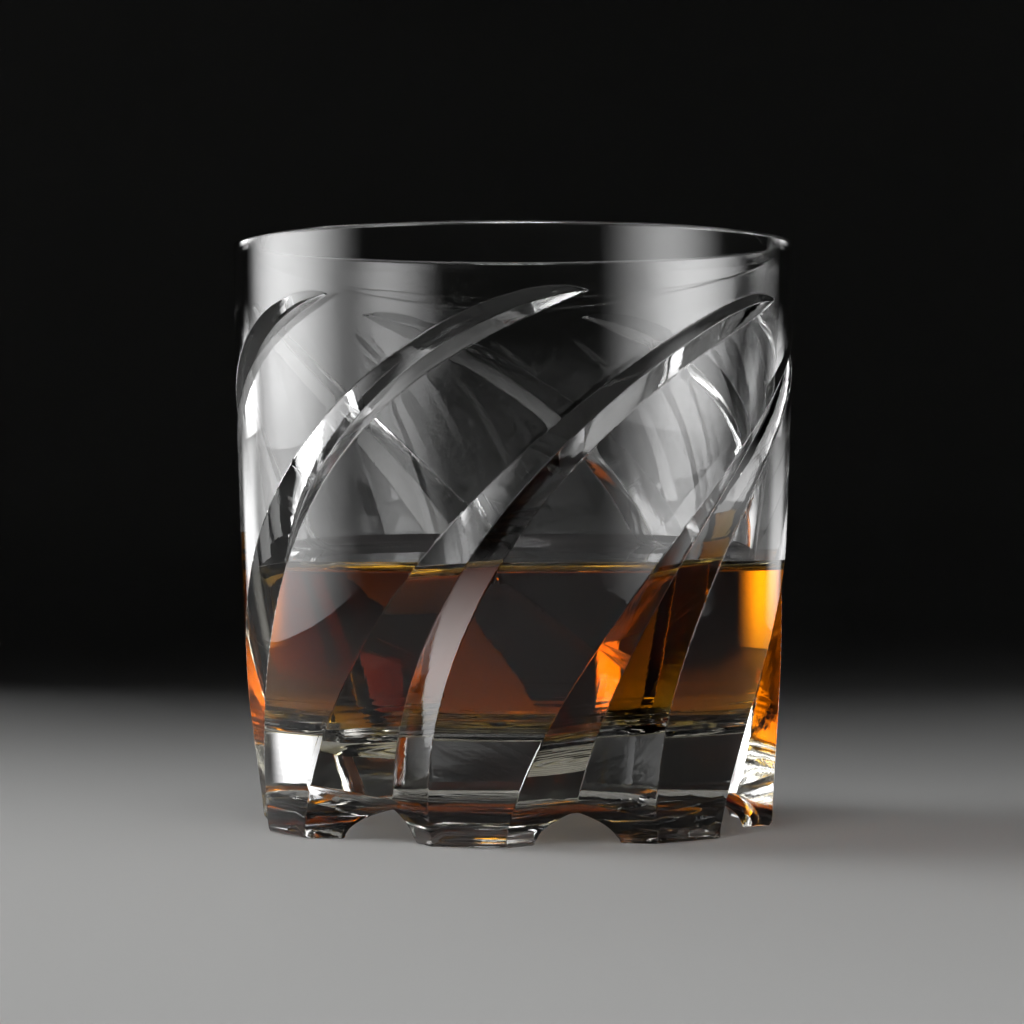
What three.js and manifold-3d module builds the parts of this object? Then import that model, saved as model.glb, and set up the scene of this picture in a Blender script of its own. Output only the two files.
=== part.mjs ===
// Neat whisky in a heavy cut-crystal rocks tumbler.
// Millimetres and degrees, +Z up, origin at the middle of the plane that the feet stand on.
// Angles round the glass are counted from the -Y side towards +X.

import * as THREE from 'three';
import { mergeVertices } from 'three/addons/utils/BufferGeometryUtils.js';
import Module from 'manifold-3d';

// Driving dimensions of the tumbler blank
const GLASS_HEIGHT = 91.3;
const RIM_RADIUS = 44.05;
const BASE_TAPER = 3.4;
const BASE_TAPER_POWER = 1.6;
const RIM_WALL = 2.1;
const RIM_ROUND = 0.6;
const BOWL_TAPER = 7;
const BOWL_TAPER_POWER = 2;
const BOWL_FLOOR = 15.3;
const BOWL_CORNER = 6.5;
const FOOT_BEVEL = 1;
const PUNT_RADIUS = 36.5;
const PUNT_HEIGHT = 8;
const PUNT_POWER = 4;

// Driving dimensions of the swirl cuts: seven, cut by hand, so their pitch varies by a few degrees
const CUT_PLACES = [0, 48.8, 100, 152.3, 204.7, 257, 309.9];
const CUT_TIP_ANGLE = 64.4;
const CUT_SWEEP = 98;
const CUT_TIP_HEIGHT = 81.2;
const CUT_CURVE_POWER = 1.56;
const CUT_WHEEL_ANGLE = 121;
const CUT_TIP_DEPTH = 1.4;
const CUT_TIP_LENGTH = 6.2;
const CUT_FOOT_DEPTH = 7.1;
const CUT_FOOT_POWER = 3;
const CUT_RUN_OUT = 2.5;
const CUT_CLEARANCE = 3;

// Driving dimensions of the drink
const DRINK_LEVEL = 40;
const DRINK_GAP = 0.3;

// How finely the round and curved stretches are divided
const GLASS_SIDES = 80;
const DRINK_SIDES = 64;
const WALL_ROWS = 8;
const DRINK_ROWS = 4;
const CORNER_ROWS = 5;
const RIM_ROWS = 4;
const PUNT_ROWS = 6;
const CUT_STEPS = 32;
const CURVE_SAMPLES = 400;

const wasm = await Module();
wasm.setup();

// Straight up near the rim and pulled in lower down, for the outside and the bowl alike
function taperAt(height, lowest, power) {
  const below = (GLASS_HEIGHT - height) / (GLASS_HEIGHT - lowest);
  return Math.pow(Math.max(below, 0), power);
}

function outerRadius(height) {
  return RIM_RADIUS - BASE_TAPER * taperAt(height, 0, BASE_TAPER_POWER);
}

function bowlRadius(height) {
  const pulledIn = BOWL_TAPER * taperAt(height, BOWL_FLOOR + BOWL_CORNER, BOWL_TAPER_POWER);
  return RIM_RADIUS - RIM_WALL - pulledIn;
}

function evenSteps(from, to, count) {
  return Array.from({ length: count + 1 }, (_, i) => from + (to - from) * i / count);
}

// The inside of the bowl, from the middle of its floor out round the corner and up the wall
function bowlProfile(inset, top, rows) {
  const floor = BOWL_FLOOR + inset;
  const cornerTop = floor + BOWL_CORNER;
  const wallFoot = bowlRadius(cornerTop) - inset;
  const wallSlope = bowlRadius(cornerTop + 1) - bowlRadius(cornerTop);
  const corner = new THREE.QuadraticBezierCurve(
    new THREE.Vector2(wallFoot - wallSlope * BOWL_CORNER - BOWL_CORNER, floor),
    new THREE.Vector2(wallFoot - wallSlope * BOWL_CORNER, floor),
    new THREE.Vector2(wallFoot, cornerTop),
  );
  const wall = evenSteps(cornerTop, top, rows).slice(1);
  return [
    new THREE.Vector2(0, floor),
    ...corner.getPoints(CORNER_ROWS),
    ...wall.map((height) => new THREE.Vector2(bowlRadius(height) - inset, height)),
  ];
}

// The hollow under the glass: steep sides behind the foot ring and a nearly flat top
function puntProfile() {
  return evenSteps(0, 1, PUNT_ROWS).map((step) => {
    const radius = PUNT_RADIUS * Math.sin(step * Math.PI / 2);
    const rise = 1 - Math.pow(radius / PUNT_RADIUS, PUNT_POWER);
    return new THREE.Vector2(radius, PUNT_HEIGHT * Math.sqrt(Math.max(rise, 0)));
  });
}

function rimProfile() {
  const lip = RIM_WALL / 2;
  const middle = RIM_RADIUS - lip;
  return evenSteps(0, Math.PI, RIM_ROWS).map((turn) => new THREE.Vector2(
    middle + lip * Math.cos(turn),
    GLASS_HEIGHT - RIM_ROUND + RIM_ROUND * Math.sin(turn),
  ));
}

function tumblerProfile() {
  const lipFoot = GLASS_HEIGHT - RIM_ROUND;
  const outside = evenSteps(FOOT_BEVEL, lipFoot, WALL_ROWS).slice(0, -1);
  const inside = bowlProfile(0, lipFoot, WALL_ROWS).slice(0, -1).reverse();
  return [
    ...puntProfile(),
    new THREE.Vector2(outerRadius(0) - FOOT_BEVEL, 0),
    ...outside.map((height) => new THREE.Vector2(outerRadius(height), height)),
    ...rimProfile(),
    ...inside,
  ];
}

function drinkProfile() {
  return [...bowlProfile(DRINK_GAP, DRINK_LEVEL, DRINK_ROWS), new THREE.Vector2(0, DRINK_LEVEL)];
}

// One shared vertex at each place, and no triangle that has closed up on the axis
function welded(geometry) {
  geometry.deleteAttribute('normal');
  geometry.deleteAttribute('uv');
  const merged = mergeVertices(geometry);
  const corners = merged.index.array;
  const kept = [];
  for (let i = 0; i < corners.length; i += 3) {
    const [a, b, c] = [corners[i], corners[i + 1], corners[i + 2]];
    if (a !== b && b !== c && c !== a) {
      kept.push(a, b, c);
    }
  }
  merged.setIndex(kept);
  return merged;
}

function turned(profile, sides) {
  const geometry = new THREE.LatheGeometry(profile, sides);
  geometry.rotateX(Math.PI / 2);
  return welded(geometry);
}

function toSolid(geometry) {
  return new wasm.Manifold(new wasm.Mesh({
    numProp: 3,
    vertProperties: new Float32Array(geometry.attributes.position.array),
    triVerts: new Uint32Array(geometry.index.array),
  }));
}

function toGeometry(solid) {
  const mesh = solid.getMesh();
  const geometry = new THREE.BufferGeometry();
  geometry.setAttribute('position', new THREE.BufferAttribute(mesh.vertProperties, 3));
  geometry.setIndex(new THREE.BufferAttribute(mesh.triVerts, 1));
  geometry.computeVertexNormals();
  return geometry;
}

// The line that the wheel follows over the outside: level at its tip near the rim, upright at the foot
class CutLine extends THREE.Curve {
  getPoint(t, target = new THREE.Vector3()) {
    const turn = t * Math.PI / 2;
    const power = 2 / CUT_CURVE_POWER;
    const angle = CUT_TIP_ANGLE - CUT_SWEEP * Math.pow(Math.sin(turn), power);
    const height = CUT_TIP_HEIGHT * Math.pow(Math.max(Math.cos(turn), 0), power);
    const round = THREE.MathUtils.degToRad(angle);
    const radius = outerRadius(height);
    return target.set(radius * Math.sin(round), -radius * Math.cos(round), height);
  }
}

// The line runs on a little past the tip and below the foot, so that the cut leaves the glass cleanly
function cutPoint(line, length, along) {
  const point = line.getPointAt(THREE.MathUtils.clamp(along / length, 0, 1));
  if (along < 0) {
    const level = new THREE.Vector3(-point.y, point.x, 0).normalize();
    point.addScaledVector(level, -along);
  }
  if (along > length) {
    point.z -= along - length;
  }
  return point;
}

// Shallow from the tip on, and deeper and deeper towards the foot
function cutDepth(along, length) {
  const tip = CUT_TIP_DEPTH * (1 - Math.exp(-along / CUT_TIP_LENGTH));
  const foot = CUT_FOOT_DEPTH * Math.pow(Math.max(along, 0) / length, CUT_FOOT_POWER);
  return tip + foot;
}

// A straight wedge with the wheel's section, laid along the line with its edge at the cut's depth
function cutWedge() {
  const line = new CutLine();
  line.arcLengthDivisions = CURVE_SAMPLES;
  const length = line.getLength();
  const lean = Math.tan(THREE.MathUtils.degToRad(CUT_WHEEL_ANGLE / 2));
  const section = new THREE.Shape([
    new THREE.Vector2(0, 0),
    new THREE.Vector2(lean, 1),
    new THREE.Vector2(-lean, 1),
  ]);
  const wedge = new THREE.ExtrudeGeometry(section, { depth: 1, steps: CUT_STEPS, bevelEnabled: false });
  const corners = wedge.attributes.position;
  for (let i = 0; i < corners.count; i += 1) {
    const along = -CUT_RUN_OUT + corners.getZ(i) * (length + 3 * CUT_RUN_OUT);
    const point = cutPoint(line, length, along);
    const ahead = cutPoint(line, length, along + 0.1).sub(cutPoint(line, length, along - 0.1));
    const out = new THREE.Vector3(point.x, point.y, 0).normalize();
    const across = new THREE.Vector3().crossVectors(out, ahead).normalize();
    const depth = cutDepth(along, length);
    const reach = depth + CUT_CLEARANCE;
    point.addScaledVector(out, corners.getY(i) * reach - depth);
    point.addScaledVector(across, corners.getX(i) * reach);
    corners.setXYZ(i, point.x, point.y, point.z);
  }
  return welded(wedge);
}

function cutTumbler() {
  let glass = toSolid(turned(tumblerProfile(), GLASS_SIDES));
  const wedge = cutWedge();
  for (const place of CUT_PLACES) {
    const copy = wedge.clone().rotateZ(THREE.MathUtils.degToRad(place));
    glass = glass.subtract(toSolid(copy));
  }
  return toGeometry(glass);
}

function namedMesh(name, geometry, finish) {
  const mesh = new THREE.Mesh(geometry, new THREE.MeshStandardMaterial({ name, ...finish }));
  mesh.name = name;
  return mesh;
}

const crystal = { color: 0xdfe3e4, roughness: 0.03, metalness: 0, transparent: true, opacity: 0.3 };
const amber = { color: 0x8a3b10, roughness: 0.05, metalness: 0, transparent: true, opacity: 0.85 };

const drinkGeometry = turned(drinkProfile(), DRINK_SIDES);
drinkGeometry.computeVertexNormals();

const drink = new THREE.Group();
drink.add(namedMesh('tumbler', cutTumbler(), crystal));
drink.add(namedMesh('whisky', drinkGeometry, amber));

export default drink;
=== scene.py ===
import bisect
import math
import bmesh
import bpy
from mathutils import Matrix, Vector
from mathutils.kdtree import KDTree


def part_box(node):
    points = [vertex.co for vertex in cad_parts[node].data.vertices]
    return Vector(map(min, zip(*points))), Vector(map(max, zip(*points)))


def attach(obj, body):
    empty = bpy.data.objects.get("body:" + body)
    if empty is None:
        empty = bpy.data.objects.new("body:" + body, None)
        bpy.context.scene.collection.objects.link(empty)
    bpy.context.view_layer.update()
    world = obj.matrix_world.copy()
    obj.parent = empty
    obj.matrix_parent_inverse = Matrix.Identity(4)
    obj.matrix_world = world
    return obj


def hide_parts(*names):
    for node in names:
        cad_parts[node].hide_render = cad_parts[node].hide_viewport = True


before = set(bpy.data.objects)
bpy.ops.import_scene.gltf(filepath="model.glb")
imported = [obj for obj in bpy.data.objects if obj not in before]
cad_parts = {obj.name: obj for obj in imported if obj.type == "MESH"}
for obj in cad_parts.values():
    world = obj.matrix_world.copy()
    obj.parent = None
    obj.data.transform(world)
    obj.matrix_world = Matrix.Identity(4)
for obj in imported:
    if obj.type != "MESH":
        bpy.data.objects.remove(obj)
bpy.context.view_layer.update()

# Metres and radians, +Z up, -Y towards the viewer. Angles round the glass are counted from -Y towards +X.
MM = 0.001

# The crystal blank, as in the frame
GLASS_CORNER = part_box("tumbler")[1]
GLASS_HEIGHT = GLASS_CORNER[2]
RIM_RADIUS = GLASS_CORNER[0]
BASE_TAPER = 3.4 * MM
BASE_TAPER_POWER = 1.6
RIM_WALL = 2.1 * MM
RIM_ROUND = 0.6 * MM
BOWL_TAPER = 7 * MM
BOWL_TAPER_POWER = 2
BOWL_FLOOR = 15.3 * MM
BOWL_CORNER = 6.5 * MM
FOOT_ROUND = 1 * MM
PUNT_RADIUS = 36.5 * MM
PUNT_HEIGHT = 8 * MM
PUNT_POWER = 4

# Low rings on the bowl's floor, and finer ones on them
FLOOR_RING = 4.4 * MM
FLOOR_WAVE = 0.085 * MM
FLOOR_RING_DRIFT = 0.8
FINE_RING_RATE = 2.3
FINE_RING_SHARE = 0.3

# The swirl cuts
CUT_PLACES = [0, 48.8, 100, 152.3, 204.7, 257, 309.9]
CUT_TIP_ANGLE = 64.4
CUT_SWEEP = 98
CUT_TIP_HEIGHT = 81.2 * MM
CUT_CURVE_POWER = 1.56
CUT_WHEEL_ANGLE = 121
CUT_TIP_DEPTH = 1.4 * MM
CUT_TIP_LENGTH = 6.2 * MM
CUT_FOOT_DEPTH = 7.1 * MM
CUT_FOOT_POWER = 3
CUT_RUN_OUT = 2.5 * MM
CUT_CLEARANCE = 3 * MM
CUT_RIDGE_RADIUS = 0.25 * MM
CUT_AIM = 0.1 * MM

# The drink
DRINK_LEVEL = 40 * MM
DRINK_IN_WALL = 0.12 * MM
MENISCUS_RISE = 1.7 * MM
CONTACT_LINE = DRINK_LEVEL + MENISCUS_RISE
MENISCUS_WIDTH = 1.28 * MM
MENISCUS_REACH = 6
MENISCUS_CROWDING = 1.6

# The cuts' polished edges, and the room that they need round them
SHARP_ANGLE = 20
EDGE_POLISH = 0.18 * MM
EDGE_SEGMENTS = 2
EDGE_ROOM = 0.5 * MM
EDGE_CROWD = 0.14 * MM
SLIVER = 0.03 * MM
WELD = 0.002 * MM

# How finely things are divided, and up to which angle the drink is shaded smooth
GLASS_SIDES = 256
DRINK_SIDES = 192
PUNT_ROWS = 24
FOOT_ROWS = 6
WALL_ROWS = 45
RIM_ROWS = 28
DRY_ROWS = 25
WET_ROWS = 12
CORNER_ROWS = 16
FLOOR_ROWS = 48
MENISCUS_ROWS = 24
SURFACE_ROWS = 6
CUT_STEPS = 150
RIDGE_ROWS = 4
LINE_SAMPLES = 600
EDGE_MARKS = 8
DRINK_SMOOTH_ANGLE = 60

# How near a place has to be to count as on the bowl, or on its floor or the drink's surface
BOWL_TOUCH = 0.05 * MM
LEVEL_TOUCH = 0.01 * MM

# Keeps the grinding marks of one cut unlike the next one's
RUN_APART = 10 * MM

# Optics. The drink absorbs (1 - colour) * density for each metre.
CRYSTAL_IOR = 1.53
WHISKY_IOR = 1.36
WHISKY_COLOUR = (0.95, 0.825, 0.33, 1)
WHISKY_DENSITY = 200

# A height over everything, from which a relief that doesn't fade would fade
ABOVE_ALL = 1

# The studio
SWEEP_WIDTH = 8
SWEEP_DEPTH = 5
SWEEP_CENTRE = 0.5
SWEEP_RADIUS = 1.2
SWEEP_ROWS = 32
WALL_HEIGHT = 1.5
CAMERA_PLACE = (-0.26 * MM, -528 * MM, 49 * MM)
CAMERA_LENS = 117.67
CAMERA_SENSOR = 36


def taper_at(height, lowest, power):
    below = (GLASS_HEIGHT - height) / (GLASS_HEIGHT - lowest)
    return max(below, 0) ** power


def outer_radius(height):
    return RIM_RADIUS - BASE_TAPER * taper_at(height, 0, BASE_TAPER_POWER)


def bowl_radius(height):
    pulled_in = BOWL_TAPER * taper_at(height, BOWL_FLOOR + BOWL_CORNER, BOWL_TAPER_POWER)
    return RIM_RADIUS - RIM_WALL - pulled_in


def even_steps(start, end, count):
    return [start + (end - start) * i / count for i in range(count + 1)]


def bowl_profile(inset, heights):
    """From the middle of the bowl's floor out round its corner and up the wall, as (radius, height)."""
    floor = BOWL_FLOOR + inset
    corner_top = floor + BOWL_CORNER
    wall_foot = bowl_radius(corner_top) - inset
    wall_slope = (bowl_radius(corner_top + MM) - bowl_radius(corner_top)) / MM
    bend = Vector((wall_foot - wall_slope * BOWL_CORNER, floor))
    start = bend - Vector((BOWL_CORNER, 0))
    end = Vector((wall_foot, corner_top))
    profile = [(r, floor) for r in even_steps(0, start.x, FLOOR_ROWS)[:-1]]
    for t in even_steps(0, 1, CORNER_ROWS):
        point = start * (1 - t) ** 2 + bend * 2 * t * (1 - t) + end * t ** 2
        profile.append((point.x, point.y))
    profile += [(bowl_radius(height) - inset, height) for height in heights if height > corner_top]
    return profile


def punt_profile():
    """The hollow under the base, from its middle out to the ring that the glass stands on."""
    profile = []
    for step in even_steps(0, math.pi / 2, PUNT_ROWS):
        radius = PUNT_RADIUS * math.sin(step)
        rise = 1 - (radius / PUNT_RADIUS) ** PUNT_POWER
        profile.append((radius, PUNT_HEIGHT * math.sqrt(max(rise, 0))))
    return profile


def tumbler_profile():
    """From under the base's middle round the foot, up the outside, over the rim and down the bowl."""
    lip = RIM_WALL / 2
    lip_foot = GLASS_HEIGHT - RIM_ROUND
    profile = punt_profile()
    foot = outer_radius(FOOT_ROUND) - FOOT_ROUND
    for turn in even_steps(0, math.pi / 2, FOOT_ROWS):
        profile.append((foot + FOOT_ROUND * math.sin(turn), FOOT_ROUND - FOOT_ROUND * math.cos(turn)))
    outside = even_steps(FOOT_ROUND, lip_foot, WALL_ROWS)[1:-1]
    profile += [(outer_radius(height), height) for height in outside]
    for turn in even_steps(0, math.pi, RIM_ROWS):
        profile.append((RIM_RADIUS - lip + lip * math.cos(turn), lip_foot + RIM_ROUND * math.sin(turn)))
    wet = even_steps(BOWL_FLOOR + BOWL_CORNER, CONTACT_LINE, WET_ROWS)
    dry = even_steps(CONTACT_LINE, lip_foot, DRY_ROWS)[1:-1]
    profile += bowl_profile(0, wet + dry)[::-1]
    return profile


def start_clean():
    if bpy.context.mode != "OBJECT":
        bpy.ops.object.mode_set(mode="OBJECT")
    bpy.ops.object.select_all(action="DESELECT")


def pick(piece):
    start_clean()
    piece.select_set(True)
    bpy.context.view_layer.objects.active = piece


def turned(name, profile, sides):
    """A solid of revolution: one corner is drawn out along the profile and spun round the axis."""
    start_clean()
    bpy.ops.mesh.primitive_plane_add(size=MM)
    piece = bpy.context.object
    piece.name = name
    bpy.ops.object.mode_set(mode="EDIT")
    bpy.ops.mesh.select_all(action="SELECT")
    bpy.ops.mesh.merge(type="CENTER")
    bpy.ops.transform.translate(value=(profile[0][0], 0, profile[0][1]))
    for (r0, z0), (r1, z1) in zip(profile, profile[1:]):
        bpy.ops.mesh.extrude_region_move(TRANSFORM_OT_translate={"value": (r1 - r0, 0, z1 - z0)})
    bpy.ops.mesh.select_all(action="SELECT")
    bpy.ops.mesh.spin(steps=sides, angle=2 * math.pi, center=(0, 0, 0), axis=(0, 0, 1))
    bpy.ops.mesh.select_all(action="SELECT")
    bpy.ops.mesh.remove_doubles(threshold=WELD)
    bpy.ops.mesh.dissolve_degenerate(threshold=WELD)
    bpy.ops.mesh.normals_make_consistent(inside=False)
    bpy.ops.object.mode_set(mode="OBJECT")
    return piece


def floor_wave(radius, angle):
    """How far the bowl's floor stands off its plane: low, slightly uneven rings, as pressed glass has."""
    turn = 2 * math.pi * radius / FLOOR_RING
    rings = math.sin(turn + FLOOR_RING_DRIFT * math.sin(2 * angle))
    fine = math.sin(turn * FINE_RING_RATE + 3 * angle)
    return FLOOR_WAVE * (rings + FINE_RING_SHARE * fine)


def ripple_floor(piece):
    for vertex in piece.data.vertices:
        place = vertex.co
        if abs(place.z - BOWL_FLOOR) < LEVEL_TOUCH:
            place.z += floor_wave(math.hypot(place.x, place.y), math.atan2(place.y, place.x))


def cut_line_point(t):
    """The line that the wheel follows over the outside: level at its tip, upright at the foot."""
    turn = t * math.pi / 2
    power = 2 / CUT_CURVE_POWER
    angle = math.radians(CUT_TIP_ANGLE - CUT_SWEEP * math.sin(turn) ** power)
    height = CUT_TIP_HEIGHT * max(math.cos(turn), 0) ** power
    radius = outer_radius(height)
    return Vector((radius * math.sin(angle), -radius * math.cos(angle), height))


LINE = [cut_line_point(i / LINE_SAMPLES) for i in range(LINE_SAMPLES + 1)]
ALONG = [0.0]
for before, after in zip(LINE, LINE[1:]):
    ALONG.append(ALONG[-1] + (after - before).length)
CUT_LENGTH = ALONG[-1]


def cut_point(along):
    """A place on the line by its distance from the tip, run on past both of its ends."""
    inside = min(max(along, 0), CUT_LENGTH)
    i = min(max(bisect.bisect_right(ALONG, inside), 1), LINE_SAMPLES)
    share = (inside - ALONG[i - 1]) / (ALONG[i] - ALONG[i - 1])
    point = LINE[i - 1].lerp(LINE[i], share)
    if along < 0:
        point += Vector((-point.y, point.x, 0)).normalized() * -along
    if along > CUT_LENGTH:
        point.z -= along - CUT_LENGTH
    return point


def cut_depth(along):
    tip = CUT_TIP_DEPTH * (1 - math.exp(-along / CUT_TIP_LENGTH))
    foot = CUT_FOOT_DEPTH * (max(along, 0) / CUT_LENGTH) ** CUT_FOOT_POWER
    return tip + foot


def wedge_section(reach):
    """The wheel's section as (across, out) from its edge, which is rounded a little."""
    half = math.radians(CUT_WHEEL_ANGLE / 2)
    spread = math.pi / 2 - half
    lift = CUT_RIDGE_RADIUS / math.cos(spread)
    corners = []
    for turn in even_steps(-spread, spread, RIDGE_ROWS):
        corners.append((CUT_RIDGE_RADIUS * math.sin(turn), lift - CUT_RIDGE_RADIUS * math.cos(turn)))
    corners.append((reach * math.tan(half), reach))
    corners.append((-reach * math.tan(half), reach))
    return corners


def cut_wedge():
    """A long prism bent along the cut's line and past its ends, deeper and wider towards the foot."""
    start_clean()
    sides = len(wedge_section(MM))
    bpy.ops.mesh.primitive_cylinder_add(vertices=sides, radius=1, depth=1, end_fill_type="NGON")
    wedge = bpy.context.object
    wedge.name = "swirl_cut"
    bpy.ops.object.mode_set(mode="EDIT")
    bpy.ops.mesh.select_mode(type="EDGE")
    bpy.ops.mesh.select_all(action="DESELECT")
    bpy.ops.object.mode_set(mode="OBJECT")
    for edge in wedge.data.edges:
        low, high = (wedge.data.vertices[i].co for i in edge.vertices)
        edge.select = abs(low.z - high.z) > 0.5
    bpy.ops.object.mode_set(mode="EDIT")
    bpy.ops.mesh.subdivide(number_cuts=CUT_STEPS - 1)
    bpy.ops.mesh.select_mode(type="VERT")
    bpy.ops.object.mode_set(mode="OBJECT")
    for vertex in wedge.data.vertices:
        side = round(math.atan2(vertex.co.y, vertex.co.x) / (2 * math.pi) * sides) % sides
        share = vertex.co.z + 0.5
        along = -CUT_RUN_OUT + share * (CUT_LENGTH + 3 * CUT_RUN_OUT)
        point = cut_point(along)
        ahead = cut_point(along + CUT_AIM) - cut_point(along - CUT_AIM)
        out = Vector((point.x, point.y, 0)).normalized()
        across = out.cross(ahead).normalized()
        depth = cut_depth(along)
        offset, rise = wedge_section(depth + CUT_CLEARANCE)[side]
        vertex.co = point + out * (rise - depth) + across * offset
    bpy.ops.object.mode_set(mode="EDIT")
    bpy.ops.mesh.select_all(action="SELECT")
    bpy.ops.mesh.normals_make_consistent(inside=False)
    bpy.ops.object.mode_set(mode="OBJECT")
    return wedge


def cut_glass(blank, wedge, materials):
    """One wedge, turned about the glass's axis, makes every cut. Its faces get the second material."""
    for piece in (blank, wedge):
        for material in materials:
            piece.data.materials.append(material)
    for face in wedge.data.polygons:
        face.material_index = 1
    for place in CUT_PLACES:
        pick(blank)
        tool = wedge.copy()
        tool.data = wedge.data.copy()
        bpy.context.collection.objects.link(tool)
        tool.rotation_euler.z = math.radians(place)
        cut = blank.modifiers.new("cut", "BOOLEAN")
        cut.operation = "DIFFERENCE"
        cut.solver = "MANIFOLD"
        cut.material_mode = "INDEX"
        cut.object = tool
        bpy.context.view_layer.update()
        bpy.ops.object.modifier_apply(modifier="cut")
        bpy.data.objects.remove(tool, do_unlink=True)
    bpy.data.objects.remove(wedge, do_unlink=True)


def is_sharp(edge):
    return len(edge.link_faces) == 2 and edge.calc_face_angle() > math.radians(SHARP_ANGLE)


def clear_slivers(mesh):
    """Corners crowded along a sharp edge are merged and those close beside it dissolved, to make room."""
    work = bmesh.new()
    work.from_mesh(mesh)
    sharp = [edge for edge in work.edges if is_sharp(edge)]
    on_edge = {vertex for edge in sharp for vertex in edge.verts}
    bmesh.ops.remove_doubles(work, verts=list(on_edge), dist=EDGE_CROWD)
    sharp = [edge for edge in work.edges if is_sharp(edge)]
    on_edge = {vertex for edge in sharp for vertex in edge.verts}
    marks = []
    for edge in sharp:
        start, end = (vertex.co for vertex in edge.verts)
        marks += [start.lerp(end, share) for share in even_steps(0, 1, EDGE_MARKS)]
    near = KDTree(len(marks))
    for i, mark in enumerate(marks):
        near.insert(mark, i)
    near.balance()
    crowded = [v for v in work.verts if v not in on_edge and near.find(v.co)[2] < EDGE_ROOM]
    bmesh.ops.dissolve_verts(work, verts=crowded)
    work.to_mesh(mesh)
    work.free()


def soften_edges(piece):
    """The cuts' edges get the fine round that polishing leaves."""
    pick(piece)
    bpy.ops.object.mode_set(mode="EDIT")
    bpy.ops.mesh.select_all(action="SELECT")
    bpy.ops.mesh.remove_doubles(threshold=SLIVER)
    bpy.ops.mesh.dissolve_degenerate(threshold=SLIVER / 4)
    bpy.ops.object.mode_set(mode="OBJECT")
    clear_slivers(piece.data)
    bpy.ops.object.shade_smooth_by_angle(angle=math.radians(SHARP_ANGLE))
    bevel = piece.modifiers.new("polish", "BEVEL")
    bevel.width = EDGE_POLISH
    bevel.segments = EDGE_SEGMENTS
    bevel.limit_method = "ANGLE"
    bevel.angle_limit = math.radians(SHARP_ANGLE)
    bevel.use_clamp_overlap = False
    bevel.harden_normals = True
    bpy.ops.object.modifier_apply(modifier="polish")


def keep_in_blank(piece):
    """No rounded corner stands out past the blank that was cut."""
    for vertex in piece.data.vertices:
        place = vertex.co
        place.z = max(place.z, 0)
        share = outer_radius(place.z) / max(math.hypot(place.x, place.y), MM)
        if share < 1:
            place.x *= share
            place.y *= share


def mark_cut_run(piece):
    """Each corner stores its place along and across the nearest cut, for the grinding marks."""
    near = KDTree(len(LINE) * len(CUT_PLACES))
    for cut, place in enumerate(CUT_PLACES):
        turn = Matrix.Rotation(math.radians(place), 3, "Z")
        for i, point in enumerate(LINE):
            near.insert(turn @ point, cut * len(LINE) + i)
    near.balance()
    run = piece.data.attributes.new("cut_run", "FLOAT_VECTOR", "POINT")
    for vertex in piece.data.vertices:
        point, index, distance = near.find(vertex.co)
        cut, i = divmod(index, len(LINE))
        side = vertex.co - point
        across = math.copysign(distance, side.dot(Vector((-point.y, point.x, 0))))
        run.data[vertex.index].vector = (ALONG[i], across, cut * RUN_APART)


def drink_profile():
    """The bowl's inside, a little way into its wall, and the surface with its climb up the wall."""
    level_edge = bowl_radius(CONTACT_LINE)
    profile = bowl_profile(-DRINK_IN_WALL, even_steps(BOWL_FLOOR + BOWL_CORNER, CONTACT_LINE, WET_ROWS))
    for step in even_steps(0, 1, MENISCUS_ROWS)[1:]:
        away = MENISCUS_WIDTH * MENISCUS_REACH * step ** MENISCUS_CROWDING
        climb = MENISCUS_RISE * (math.exp(-away / MENISCUS_WIDTH) - math.exp(-MENISCUS_REACH) * step)
        profile.append((level_edge - away, DRINK_LEVEL + climb))
    surface_edge = profile[-1][0]
    profile += [(radius, DRINK_LEVEL) for radius in even_steps(surface_edge, 0, SURFACE_ROWS)[1:]]
    return profile


def new_material(name):
    material = bpy.data.materials.new(name)
    material.use_nodes = True
    return material, material.node_tree, material.node_tree.nodes["Principled BSDF"]


def feed(tree, value, socket):
    """Gives a socket its value, which is a number or another node's output."""
    if isinstance(value, bpy.types.NodeSocket):
        tree.links.new(value, socket)
    else:
        socket.default_value = value


def maths(tree, operation, *values):
    node = tree.nodes.new("ShaderNodeMath")
    node.operation = operation
    for socket, value in zip(node.inputs, values):
        feed(tree, value, socket)
    return node.outputs[0]


def ramp(tree, value, low, high, from_low, from_high):
    """Runs smoothly from one result at the low value to another at the high one."""
    node = tree.nodes.new("ShaderNodeMapRange")
    node.interpolation_type = "SMOOTHSTEP"
    names = ("Value", "From Min", "From Max", "To Min", "To Max")
    for name, given in zip(names, (value, low, high, from_low, from_high)):
        feed(tree, given, node.inputs[name])
    return node.outputs[0]


def clear_shader(name, ior):
    material, tree, shader = new_material(name)
    shader.inputs["Base Color"].default_value = (1, 1, 1, 1)
    shader.inputs["Transmission Weight"].default_value = 1
    shader.inputs["IOR"].default_value = ior
    shader.inputs["Roughness"].default_value = 0
    return material, tree, shader


def object_place(tree):
    return tree.nodes.new("ShaderNodeTexCoord").outputs["Object"]


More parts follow.
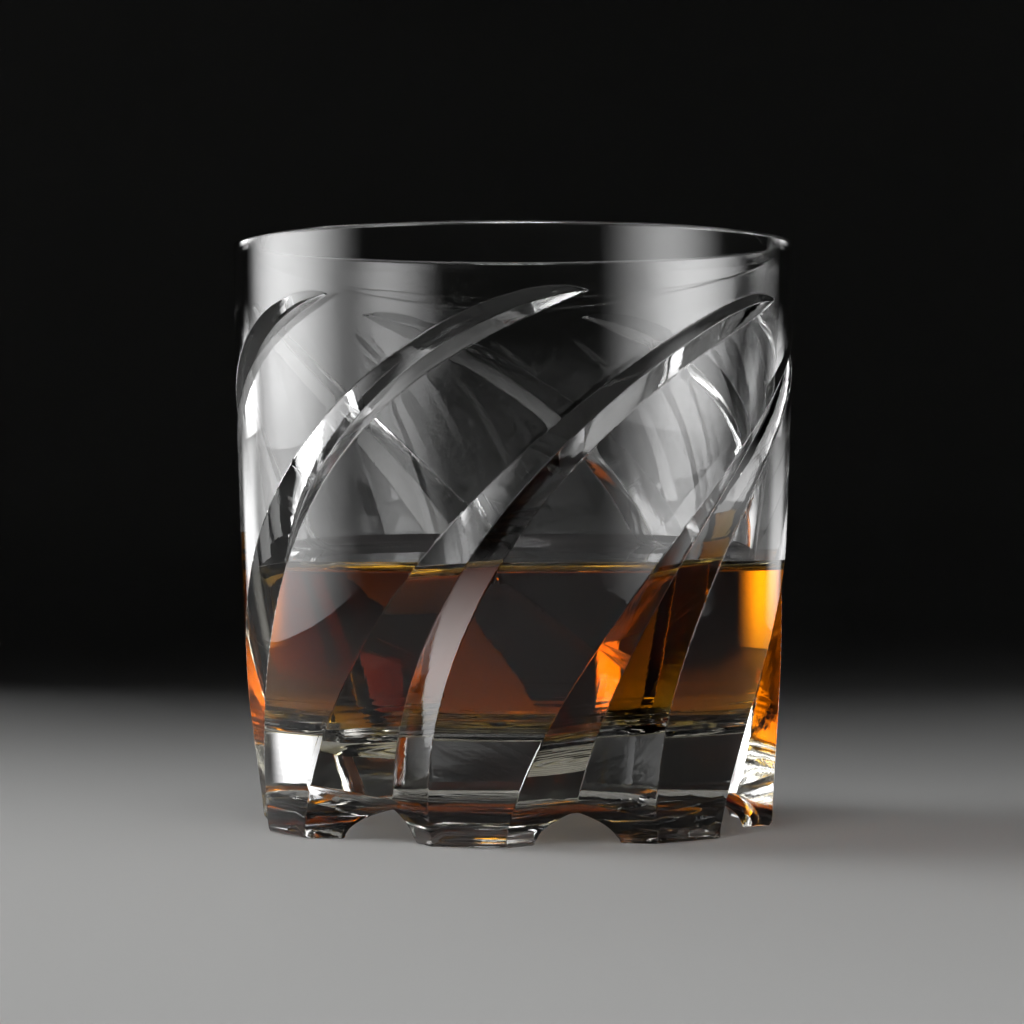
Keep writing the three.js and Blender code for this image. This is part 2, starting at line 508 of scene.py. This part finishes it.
def fine_relief_group():
    """Soft noise with grains 1 / Stretch metres long, and its height, which fades out between two levels."""
    group = bpy.data.node_groups.new("fine_relief", "ShaderNodeTree")
    for name in ("Place", "Stretch"):
        group.interface.new_socket(name, in_out="INPUT", socket_type="NodeSocketVector")
    for name in ("Detail", "Depth", "Full Below", "None Above"):
        group.interface.new_socket(name, in_out="INPUT", socket_type="NodeSocketFloat")
    for name in ("Grain", "Height"):
        group.interface.new_socket(name, in_out="OUTPUT", socket_type="NodeSocketFloat")
    given = group.nodes.new("NodeGroupInput").outputs
    results = group.nodes.new("NodeGroupOutput").inputs
    mapping = group.nodes.new("ShaderNodeMapping")
    group.links.new(given["Place"], mapping.inputs["Vector"])
    group.links.new(given["Stretch"], mapping.inputs["Scale"])
    grains = group.nodes.new("ShaderNodeTexNoise")
    grains.inputs["Scale"].default_value = 1
    group.links.new(mapping.outputs[0], grains.inputs["Vector"])
    group.links.new(given["Detail"], grains.inputs["Detail"])
    group.links.new(grains.outputs["Fac"], results["Grain"])
    split = group.nodes.new("ShaderNodeSeparateXYZ")
    group.links.new(given["Place"], split.inputs[0])
    depth = ramp(group, split.outputs["Z"], given["Full Below"], given["None Above"], given["Depth"], 0)
    group.links.new(maths(group, "MULTIPLY", grains.outputs["Fac"], depth), results["Height"])
    return group


def fine_relief(tree, place, stretch, depth, detail=2, full_below=ABOVE_ALL, none_above=2 * ABOVE_ALL):
    """The shared group placed in one material, with its own values."""
    node = tree.nodes.new("ShaderNodeGroup")
    node.node_tree = FINE_RELIEF
    names = ("Place", "Stretch", "Depth", "Detail", "Full Below", "None Above")
    for name, value in zip(names, (place, stretch, depth, detail, full_below, none_above)):
        feed(tree, value, node.inputs[name])
    return node.outputs


FINE_RELIEF = fine_relief_group()


def bump(tree, shader, height):
    """Height in metres, pressed into the shader's normal."""
    node = tree.nodes.new("ShaderNodeBump")
    node.inputs["Strength"].default_value = 1
    node.inputs["Distance"].default_value = 1
    tree.links.new(height, node.inputs["Height"])
    tree.links.new(node.outputs[0], shader.inputs["Normal"])


def crystal_material():
    """Barely uneven outside, with fine level ripples low in the glass, as thick pressed glass has."""
    material, tree, shader = clear_shader("cut_crystal", CRYSTAL_IOR)
    place = object_place(tree)
    waves = fine_relief(tree, place, stretch=(70, 70, 40), depth=0.02 * MM)
    ripples = fine_relief(
        tree, place, stretch=(45, 45, 2000), depth=0.004 * MM,
        detail=1, full_below=17 * MM, none_above=21 * MM,
    )
    bump(tree, shader, maths(tree, "ADD", waves["Height"], ripples["Height"]))
    return material


def facet_material():
    """The cut faces: fine grinding marks run along each cut."""
    material, tree, shader = clear_shader("cut_crystal_facets", CRYSTAL_IOR)
    run = tree.nodes.new("ShaderNodeAttribute")
    run.attribute_name = "cut_run"
    place = run.outputs["Vector"]
    marks = fine_relief(tree, place, stretch=(60, 5000, 1000), depth=0.012 * MM, detail=3)
    waves = fine_relief(tree, place, stretch=(50, 500, 1000), depth=0.06 * MM, detail=1)
    bump(tree, shader, maths(tree, "ADD", marks["Height"], waves["Height"]))
    dull = ramp(tree, marks["Grain"], 0.5, 0.8, 0, 0.08)
    tree.links.new(dull, shader.inputs["Roughness"])
    return material


def wet_crystal_material():
    """Where whisky touches the bowl, light bends only by the difference between the two."""
    material, tree, shader = clear_shader("cut_crystal_under_whisky", CRYSTAL_IOR / WHISKY_IOR)
    ripples = fine_relief(
        tree, object_place(tree), stretch=(45, 45, 1 / (0.9 * MM)), depth=0.35 * MM,
        detail=1, full_below=20 * MM, none_above=23.5 * MM,
    )
    bump(tree, shader, ripples["Height"])
    return material


def whisky_volume(tree):
    body = tree.nodes.new("ShaderNodeVolumeAbsorption")
    body.inputs["Color"].default_value = WHISKY_COLOUR
    body.inputs["Density"].default_value = WHISKY_DENSITY
    tree.links.new(body.outputs[0], tree.nodes["Material Output"].inputs["Volume"])


def whisky_surface_material():
    material, tree, shader = clear_shader("whisky_surface", WHISKY_IOR)
    uneven = fine_relief(tree, object_place(tree), stretch=(60, 60, 60), depth=0.03 * MM)
    bump(tree, shader, uneven["Height"])
    whisky_volume(tree)
    return material


def whisky_at_glass_material():
    """The side that lies in the crystal's wall only starts the colour: the wet crystal bends the light."""
    material, tree, _ = clear_shader("whisky_at_glass", 1)
    whisky_volume(tree)
    return material


def finish_faces(piece, material, takes_it):
    """A further material, on the faces that the rule picks."""
    piece.data.materials.append(material)
    for face in piece.data.polygons:
        if takes_it(face.center):
            face.material_index = len(piece.data.materials) - 1


def touches_whisky(place):
    in_bowl = math.hypot(place.x, place.y) < bowl_radius(place.z) + BOWL_TOUCH
    return in_bowl and BOWL_FLOOR - BOWL_TOUCH < place.z < CONTACT_LINE


def touches_bowl(place):
    below_surface = place.z < DRINK_LEVEL - LEVEL_TOUCH
    return below_surface or math.hypot(place.x, place.y) > bowl_radius(place.z)


def floor_material():
    material, _, shader = new_material("pale_floor")
    shader.inputs["Base Color"].default_value = (0.8, 0.8, 0.79, 1)
    shader.inputs["Roughness"].default_value = 0.7
    return material


def studio_sweep():
    """A pale floor that curves up behind the glass."""
    start_clean()
    bpy.ops.mesh.primitive_plane_add(size=1)
    sweep = bpy.context.object
    sweep.name = "pale_sweep"
    bpy.ops.object.mode_set(mode="EDIT")
    bpy.ops.mesh.select_all(action="SELECT")
    bpy.ops.transform.resize(value=(SWEEP_WIDTH, SWEEP_DEPTH, 1))
    bpy.ops.transform.translate(value=(0, SWEEP_CENTRE, 0))
    bpy.ops.object.mode_set(mode="OBJECT")
    for edge in sweep.data.edges:
        edge.select = all(sweep.data.vertices[i].co.y > 0 for i in edge.vertices)
    for vertex in sweep.data.vertices:
        vertex.select = vertex.co.y > 0
    bpy.ops.object.mode_set(mode="EDIT")
    turns = even_steps(0, math.pi / 2, SWEEP_ROWS)
    for low, high in zip(turns, turns[1:]):
        ahead = SWEEP_RADIUS * (math.sin(high) - math.sin(low))
        rise = SWEEP_RADIUS * (math.cos(low) - math.cos(high))
        bpy.ops.mesh.extrude_region_move(TRANSFORM_OT_translate={"value": (0, ahead, rise)})
    bpy.ops.mesh.extrude_region_move(TRANSFORM_OT_translate={"value": (0, 0, WALL_HEIGHT)})
    bpy.ops.mesh.select_all(action="SELECT")
    bpy.ops.mesh.normals_make_consistent(inside=False)
    bpy.ops.object.mode_set(mode="OBJECT")
    bpy.ops.object.shade_smooth()
    sweep.data.materials.append(floor_material())


def softbox(name, place, aim, size, radiance, fade, spread):
    """A softbox. Its cloth is brightest in the middle and fades over a share of its width and height."""
    light = bpy.data.lights.new(name, "AREA")
    light.shape = "RECTANGLE"
    light.size, light.size_y = size
    light.spread = math.radians(spread)
    light.energy = radiance * math.pi * size[0] * size[1]
    light.use_nodes = True
    tree = light.node_tree
    on_cloth = tree.nodes.new("ShaderNodeNewGeometry")
    split = tree.nodes.new("ShaderNodeSeparateXYZ")
    tree.links.new(on_cloth.outputs["Parametric"], split.inputs[0])
    shares = []
    for axis, share in zip(("X", "Y"), fade):
        centred = maths(tree, "SUBTRACT", split.outputs[axis], 0.5)
        from_middle = maths(tree, "ABSOLUTE", centred)
        shares.append(ramp(tree, from_middle, 0.5, 0.5 - share, 0, 1))
    tree.links.new(maths(tree, "MULTIPLY", *shares), tree.nodes["Emission"].inputs["Strength"])
    lamp = bpy.data.objects.new(name, light)
    bpy.context.collection.objects.link(lamp)
    lamp.location = place
    lamp.rotation_euler = (Vector(aim) - Vector(place)).to_track_quat("-Z", "Y").to_euler()


def around(angle, distance, height):
    """A place round the glass, by its angle from the camera's side towards the right."""
    turn = math.radians(angle)
    return (distance * math.sin(turn), -distance * math.cos(turn), height)


def studio_lights():
    beside = {"aim": (0, 0, 0.14), "spread": 120}
    behind = {"aim": (0, 0, 0.03), "size": (0.24, 0.1), "fade": (0.35, 0.5), "spread": 100}
    left = around(angle=-98, distance=0.36, height=0.14)
    softbox("left_softbox", left, size=(0.56, 0.42), radiance=2, fade=(0.45, 0.3), **beside)
    right = around(angle=62, distance=0.36, height=0.14)
    softbox("right_softbox", right, size=(0.42, 0.42), radiance=1.5, fade=(0.5, 0.3), **beside)
    above = (0, -0.45, 0.9)
    softbox("top_softbox", above, aim=(0, -0.1, 0), size=(0.5, 0.5), radiance=5.5, fade=(0.2, 0.2), spread=90)
    softbox("low_left_strip", around(angle=-140, distance=0.5, height=0.03), radiance=1.2, **behind)
    softbox("low_right_strip", around(angle=140, distance=0.5, height=0.03), radiance=0.5, **behind)
    world = bpy.data.worlds.new("studio")
    world.use_nodes = True
    world.node_tree.nodes["Background"].inputs["Color"].default_value = (0.03, 0.03, 0.032, 1)
    world.node_tree.nodes["Background"].inputs["Strength"].default_value = 1
    bpy.context.scene.world = world


def photo_camera():
    """Level with the lower half of the glass, at the photograph's distance and framing."""
    camera = bpy.data.objects.new("photo_camera", bpy.data.cameras.new("photo_camera"))
    bpy.context.collection.objects.link(camera)
    camera.location = CAMERA_PLACE
    camera.rotation_euler = (math.radians(90), 0, 0)
    camera.data.lens = CAMERA_LENS
    camera.data.sensor_width = CAMERA_SENSOR
    camera.data.clip_start = 0.01
    bpy.context.scene.camera = camera


def render_look():
    scene = bpy.context.scene
    scene.view_settings.view_transform = "Standard"
    scene.cycles.max_bounces = 10
    scene.cycles.transmission_bounces = 10
    scene.cycles.glossy_bounces = 8
    scene.cycles.diffuse_bounces = 2
    scene.cycles.adaptive_threshold = 0.06
    scene.cycles.adaptive_min_samples = 16
    scene.cycles.sample_clamp_indirect = 8
    scene.cycles.caustics_reflective = False
    scene.cycles.use_light_tree = False


photo_camera()
render_look()
studio_sweep()
studio_lights()

tumbler = turned("cut_crystal_tumbler", tumbler_profile(), GLASS_SIDES)
ripple_floor(tumbler)
cut_glass(tumbler, cut_wedge(), [crystal_material(), facet_material()])
soften_edges(tumbler)
keep_in_blank(tumbler)
mark_cut_run(tumbler)
finish_faces(tumbler, wet_crystal_material(), touches_whisky)
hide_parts("tumbler")
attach(tumbler, "root")

whisky = turned("whisky_with_meniscus", drink_profile(), DRINK_SIDES)
pick(whisky)
bpy.ops.object.shade_smooth_by_angle(angle=math.radians(DRINK_SMOOTH_ANGLE))
whisky.data.materials.append(whisky_surface_material())
finish_faces(whisky, whisky_at_glass_material(), touches_bowl)
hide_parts("whisky")
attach(whisky, "root")
